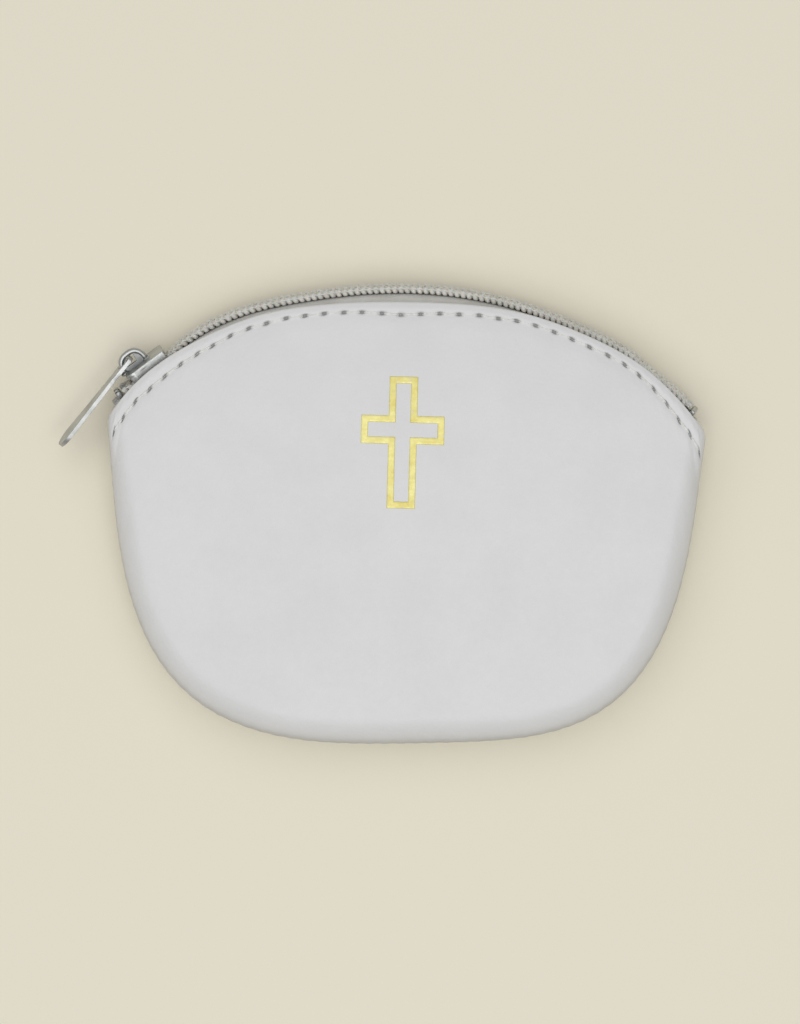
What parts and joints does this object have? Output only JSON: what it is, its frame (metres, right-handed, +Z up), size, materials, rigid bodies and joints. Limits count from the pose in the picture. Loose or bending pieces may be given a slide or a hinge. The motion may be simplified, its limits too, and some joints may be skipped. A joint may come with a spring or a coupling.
{
  "type": "zipped rosary purse",
  "caption": "Small leather purse for a rosary, with a curved coil zip across its round mouth, a pull tab on the slider and a gilt outline cross on the front.",
  "frame": {"origin": "middle of the flat back face that the purse lies on, on its left-right centre line", "axes": "+X to the right, +Y towards the zip, +Z up, out of the front panel, with the purse lying on its back"},
  "size_m": [0.1034, 0.0731, 0.0129],
  "materials": {
    "leather": "smooth white leather with a faint grain, semi-matt",
    "lining": "plain woven off-white lining",
    "tape": "woven light grey polyester tape",
    "coil": "grey nylon monofilament",
    "thread": "twisted off-white sewing thread",
    "metal": "nickel-plated zinc, lightly worn",
    "gold": "hot-stamped gold foil"
  },
  "bodies": {
    "purse": {"front_panel": "leather", "back_panel": "leather", "front_lining": "lining", "back_lining": "lining", "seam_thread": "thread", "front_tape_left": "tape", "front_tape_right": "tape", "back_tape": "tape", "front_coil_left": "coil", "front_coil_right": "coil", "back_coil": "coil", "front_top_stop": "metal", "back_top_stop": "metal", "bottom_stop": "metal", "front_stitch_left": "thread", "front_stitch_right": "thread", "back_stitch": "thread", "gold_cross": "gold"},
    "front_lip": {"front_panel_lip": "leather", "front_lining_lip": "lining", "front_tape_lip": "tape", "front_coil_lip": "coil", "front_stitch_lip": "thread"},
    "slider": {"slider_body": "metal", "slider_crown": "metal"},
    "pull_tab": {"pull_tab": "metal"}
  },
  "joints": [
    {"name": "slider_travel", "type": "hinge", "parent": "purse", "child": "slider", "pos_m": [0, -0.0317, 0.0058], "axis": [0, 0, -1], "range_deg": [0, 76]},
    {"name": "pull_tab_swing", "type": "hinge", "parent": "slider", "child": "pull_tab", "pos_m": [-0.04453, 0.02383, 0.00677], "axis": [-0.1682, 0.2184, -0.9613], "range_deg": [0, 195]},
    {"name": "mouth_open", "type": "hinge", "parent": "purse", "child": "front_lip", "pos_m": [0, 0.0164, 0.0058], "axis": [1, 0, 0], "range_deg": [0, 30]}
  ]
}
